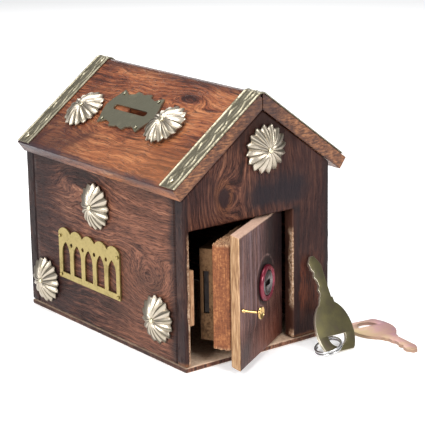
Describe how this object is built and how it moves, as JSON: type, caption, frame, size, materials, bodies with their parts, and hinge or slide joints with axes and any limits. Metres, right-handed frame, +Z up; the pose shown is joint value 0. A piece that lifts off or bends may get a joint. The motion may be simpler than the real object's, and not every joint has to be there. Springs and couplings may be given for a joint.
{
  "type": "wooden money box",
  "caption": "Hut-shaped wooden coin bank with a roof coin slot, a lockable swinging door with a cam lock and sliding bolt, brass strips and rosettes, and its keys on a ring.",
  "frame": {"origin": "centre of the underside of the base, on the ground plane", "axes": "+Z up; -Y out of the gable with the door; +X to the hinge side of the door"},
  "size_m": [0.1246, 0.1836, 0.1274],
  "materials": {
    "burnt_wood": "stained and scorched, satin varnish",
    "roof_wood": "orange-brown stain, scorched ridge and eaves",
    "raw_wood": "bare sawn wood",
    "packing_wood": "rough sawn, stained",
    "pale_brass": "pressed, pale and polished on the high spots",
    "dull_brass": "dull grey-olive",
    "yellow_brass": "satin",
    "dark_steel": "dark oiled",
    "bright_steel": "nickel bright",
    "lock_sheet": "brass-plated sheet steel, dull",
    "crimson_collar": "crimson anodised",
    "olive_plating": "dark olive plating",
    "rosy_plating": "rosy plating"
  },
  "bodies": {
    "box": {"base_board": "burnt_wood", "left_wall": "burnt_wood", "right_wall": "burnt_wood", "front_gable": "burnt_wood", "back_gable": "burnt_wood", "roof_left": "roof_wood", "roof_right": "roof_wood", "door_head_block": "raw_wood", "keeper_block": "raw_wood", "strip_front": "pale_brass", "strip_back": "pale_brass", "strip_nail_front_left": "pale_brass", "strip_nail_front_right": "pale_brass", "strip_nail_back_left": "pale_brass", "strip_nail_back_right": "pale_brass", "rosette_gable": "pale_brass", "rosette_wall_top": "pale_brass", "rosette_wall_front": "pale_brass", "rosette_wall_rear": "pale_brass", "rosette_roof_front": "pale_brass", "rosette_roof_rear": "pale_brass", "rosette_pin_gable": "pale_brass", "rosette_pin_wall_top": "pale_brass", "rosette_pin_wall_front": "pale_brass", "rosette_pin_wall_rear": "pale_brass", "rosette_pin_roof_front": "pale_brass", "rosette_pin_roof_rear": "pale_brass", "coin_plate_pin_1": "pale_brass", "coin_plate_pin_2": "pale_brass", "coin_plate_pin_3": "pale_brass", "coin_plate_pin_4": "pale_brass", "coin_plate": "dull_brass", "fretwork_plate": "yellow_brass", "fretwork_pin_1": "yellow_brass", "fretwork_pin_2": "yellow_brass", "fretwork_pin_3": "yellow_brass", "fretwork_pin_4": "yellow_brass", "base_nail_front": "dark_steel", "base_nail_back": "dark_steel", "base_nail_left": "dark_steel", "base_nail_right": "dark_steel", "hinge_pin_top": "dark_steel", "hinge_pin_bottom": "dark_steel", "key_ring": "bright_steel", "key_standing": "olive_plating", "key_lying": "rosy_plating"},
    "door": {"door_board": "burnt_wood", "packing_block": "packing_wood", "door_pull": "yellow_brass", "lock_cylinder": "crimson_collar", "lock_case": "lock_sheet", "lock_cover": "lock_sheet", "lock_screw_1": "bright_steel", "lock_screw_2": "bright_steel", "lock_screw_3": "bright_steel", "lock_screw_4": "bright_steel"},
    "plug": {"lock_plug": "bright_steel", "lock_cam": "bright_steel"},
    "bolt": {"lock_bolt": "dark_steel"}
  },
  "joints": [
    {"name": "door_swing", "type": "hinge", "parent": "box", "child": "door", "pos_m": [0.0169, -0.05825, 0.035], "axis": [0, 0, 1], "range_deg": [-30.8, 53.2]},
    {"name": "plug_turn", "type": "hinge", "parent": "door", "child": "plug", "pos_m": [-0.00054, -0.06864, 0.0362], "axis": [0.512, -0.859, 0], "range_deg": [0, 90]},
    {"name": "bolt_slide", "type": "slide", "parent": "door", "child": "bolt", "axis": [-0.859, -0.512, 0], "range_m": [0, 0.0105]}
  ],
  "couplings": [
    {"joint": "bolt_slide", "follows": "plug_turn", "m_per_rad": 0.006684}
  ]
}
